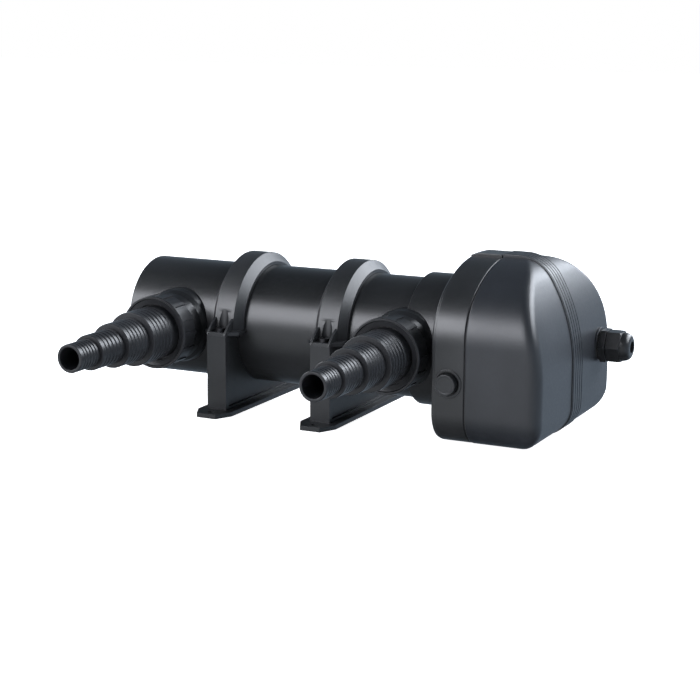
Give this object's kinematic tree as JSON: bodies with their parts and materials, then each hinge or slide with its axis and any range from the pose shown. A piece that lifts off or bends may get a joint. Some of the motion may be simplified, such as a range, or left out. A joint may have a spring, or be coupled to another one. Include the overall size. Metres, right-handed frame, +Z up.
{
  "type": "uv clarifier",
  "caption": "In-line ultraviolet clarifier: black flow chamber on saddle feet with stepped hose tails on union nuts and a turn-and-pull electrical head holding the lamp.",
  "frame": {"origin": "centre of the four foot screw holes, on the mounting plane", "axes": "+X along the chamber towards the electrical head, -Y towards the hose tails' tips, +Z up from the mounting plane"},
  "size_m": [0.3748, 0.2678, 0.1285],
  "materials": {
    "chamber_plastic": "satin black ABS, fine mould texture",
    "saddle_plastic": "satin black ABS",
    "tail_plastic": "semi-gloss black ABS",
    "nut_plastic": "satin black ABS",
    "head_plastic": "satin black ABS, slightly blue-grey",
    "trim_plastic": "satin black ABS",
    "gland_plastic": "black polyamide",
    "seal_rubber": "black nitrile rubber",
    "screw_steel": "stainless steel",
    "plate_steel": "zinc-plated sheet",
    "quartz": "clear fused quartz",
    "lamp_glass": "clear lamp glass",
    "lamp_ceramic": "white heat-proof plastic",
    "contact_brass": "brass",
    "wire_sheath": "silicone-covered wire",
    "board_laminate": "green circuit board",
    "ferrite": "ferrite and tape",
    "capacitor_sleeve": "shrink sleeve",
    "chip_epoxy": "moulded epoxy",
    "terminal_plastic": "green polyamide"
  },
  "bodies": {
    "housing": {"water_housing": "chamber_plastic", "end_cap": "chamber_plastic", "rear_saddle": "saddle_plastic", "front_saddle": "saddle_plastic", "rear_strap": "saddle_plastic", "front_strap": "saddle_plastic", "strap_screws": "screw_steel", "sleeve_support": "trim_plastic", "interlock_magnet": "screw_steel"},
    "inlet_hose_tail": {"inlet_tail": "tail_plastic", "inlet_gasket": "seal_rubber"},
    "inlet_union_nut": {"inlet_nut": "nut_plastic"},
    "outlet_hose_tail": {"outlet_tail": "tail_plastic", "outlet_gasket": "seal_rubber"},
    "outlet_union_nut": {"outlet_nut": "nut_plastic"},
    "bayonet": {"bayonet_ring": "trim_plastic"},
    "head": {"head_base": "head_plastic", "head_cover": "head_plastic", "cover_seal": "seal_rubber", "cover_screws": "screw_steel", "button_spring": "screw_steel", "gland_body": "gland_plastic", "gland_seal": "seal_rubber", "gland_washer": "seal_rubber", "gland_locknut": "gland_plastic", "spigot_orings": "seal_rubber", "quartz_sleeve": "quartz", "sleeve_oring": "seal_rubber", "sleeve_clamp": "trim_plastic", "uv_lamp": "lamp_glass", "lamp_base": "lamp_ceramic", "lamp_pins": "contact_brass", "lamp_holder": "lamp_ceramic", "lamp_leads": "wire_sheath", "chassis_plate": "plate_steel", "chassis_screws": "screw_steel", "ballast_board": "board_laminate", "ballast_choke": "ferrite", "ballast_capacitors": "capacitor_sleeve", "ballast_chips": "chip_epoxy", "terminal_block": "terminal_plastic", "reed_switch": "terminal_plastic"},
    "button": {"lock_button": "trim_plastic"},
    "gland_cap": {"gland_nut": "gland_plastic"}
  },
  "joints": [
    {"name": "inlet_tail_slide", "type": "slide", "parent": "housing", "child": "inlet_hose_tail", "axis": [0, -1, 0], "range_m": [0, 0.0092]},
    {"name": "inlet_nut_turn", "type": "hinge", "parent": "inlet_hose_tail", "child": "inlet_union_nut", "pos_m": [-0.091, -0.069, 0.06], "axis": [0, -1, 0], "range_deg": [0, 1080]},
    {"name": "outlet_tail_slide", "type": "slide", "parent": "housing", "child": "outlet_hose_tail", "axis": [0, -1, 0], "range_m": [0, 0.0092]},
    {"name": "outlet_nut_turn", "type": "hinge", "parent": "outlet_hose_tail", "child": "outlet_union_nut", "pos_m": [0.1, -0.069, 0.06], "axis": [0, -1, 0], "range_deg": [0, 1080]},
    {"name": "head_turn", "type": "hinge", "parent": "housing", "child": "bayonet", "pos_m": [0.14, 0, 0.06], "axis": [1, 0, 0], "range_deg": [0, 15]},
    {"name": "head_pull", "type": "slide", "parent": "bayonet", "child": "head", "axis": [1, 0, 0], "range_m": [0, 0.28]},
    {"name": "lock_button_press", "type": "slide", "parent": "head", "child": "button", "axis": [0, 1, 0], "range_m": [0, 0.0035], "stiffness_N_per_m": 900, "springref_m": -0.002, "deforming": ["button_spring"]},
    {"name": "gland_nut_turn", "type": "hinge", "parent": "head", "child": "gland_cap", "pos_m": [0.229, 0.053, 0.0563], "axis": [1, 0, 0], "range_deg": [0, 720]}
  ],
  "couplings": [
    {"joint": "inlet_tail_slide", "follows": "inlet_nut_turn", "m_per_rad": 0.00047746},
    {"joint": "outlet_tail_slide", "follows": "outlet_nut_turn", "m_per_rad": 0.00047746}
  ]
}
